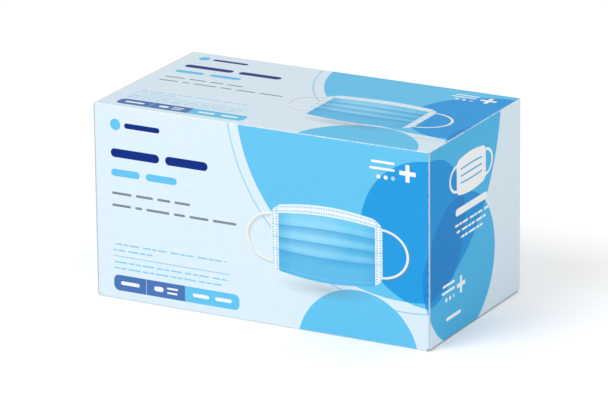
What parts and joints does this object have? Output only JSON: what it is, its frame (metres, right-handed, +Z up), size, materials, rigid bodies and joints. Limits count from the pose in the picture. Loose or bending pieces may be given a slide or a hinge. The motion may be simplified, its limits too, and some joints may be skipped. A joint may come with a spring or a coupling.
{
  "type": "paperboard carton for face masks",
  "caption": "Rectangular folding carton of printed paperboard with a glued sleeve, hinged tuck-in end panels and dust flaps.",
  "frame": {"origin": "centre of the underside of the closed carton", "axes": "+X along the carton towards its right end, the front panel faces -Y, +Z up"},
  "size_m": [0.19, 0.102, 0.103],
  "materials": {
    "printed_board": "satin varnished print in pale, sky and mid blue",
    "bare_board": "matt uncoated board, off-white"
  },
  "bodies": {
    "sleeve": {"top_panel": "printed_board", "bottom_panel": "printed_board", "front_panel": "printed_board", "back_panel": "printed_board", "glue_flap": "bare_board"},
    "right_end": {"right_end_panel": "printed_board", "right_tuck_flap": "printed_board"},
    "right_front_dust": {"right_front_dust_flap": "bare_board"},
    "right_back_dust": {"right_back_dust_flap": "bare_board"},
    "left_end": {"left_end_panel": "printed_board", "left_tuck_flap": "printed_board"},
    "left_front_dust": {"left_front_dust_flap": "bare_board"},
    "left_back_dust": {"left_back_dust_flap": "bare_board"}
  },
  "joints": [
    {"name": "right_end_crease", "type": "hinge", "parent": "sleeve", "child": "right_end", "pos_m": [0.09475, 0, 0.10275], "axis": [0, -1, 0], "range_deg": [0, 178]},
    {"name": "right_front_dust_crease", "type": "hinge", "parent": "sleeve", "child": "right_front_dust", "pos_m": [0.09395, -0.05075, 0.05], "axis": [0, 0, -1], "range_deg": [0, 89]},
    {"name": "right_back_dust_crease", "type": "hinge", "parent": "sleeve", "child": "right_back_dust", "pos_m": [0.09395, 0.05075, 0.05], "axis": [0, 0, 1], "range_deg": [0, 89]},
    {"name": "left_end_crease", "type": "hinge", "parent": "sleeve", "child": "left_end", "pos_m": [-0.09475, 0, 0.10275], "axis": [0, 1, 0], "range_deg": [0, 178]},
    {"name": "left_front_dust_crease", "type": "hinge", "parent": "sleeve", "child": "left_front_dust", "pos_m": [-0.09395, -0.05075, 0.05], "axis": [0, 0, 1], "range_deg": [0, 89]},
    {"name": "left_back_dust_crease", "type": "hinge", "parent": "sleeve", "child": "left_back_dust", "pos_m": [-0.09395, 0.05075, 0.05], "axis": [0, 0, -1], "range_deg": [0, 89]}
  ],
  "couplings": [
    {"joint": "right_front_dust_crease", "follows": "right_end_crease", "ratio": 0.5},
    {"joint": "right_back_dust_crease", "follows": "right_end_crease", "ratio": 0.5},
    {"joint": "left_front_dust_crease", "follows": "left_end_crease", "ratio": 0.5},
    {"joint": "left_back_dust_crease", "follows": "left_end_crease", "ratio": 0.5}
  ]
}
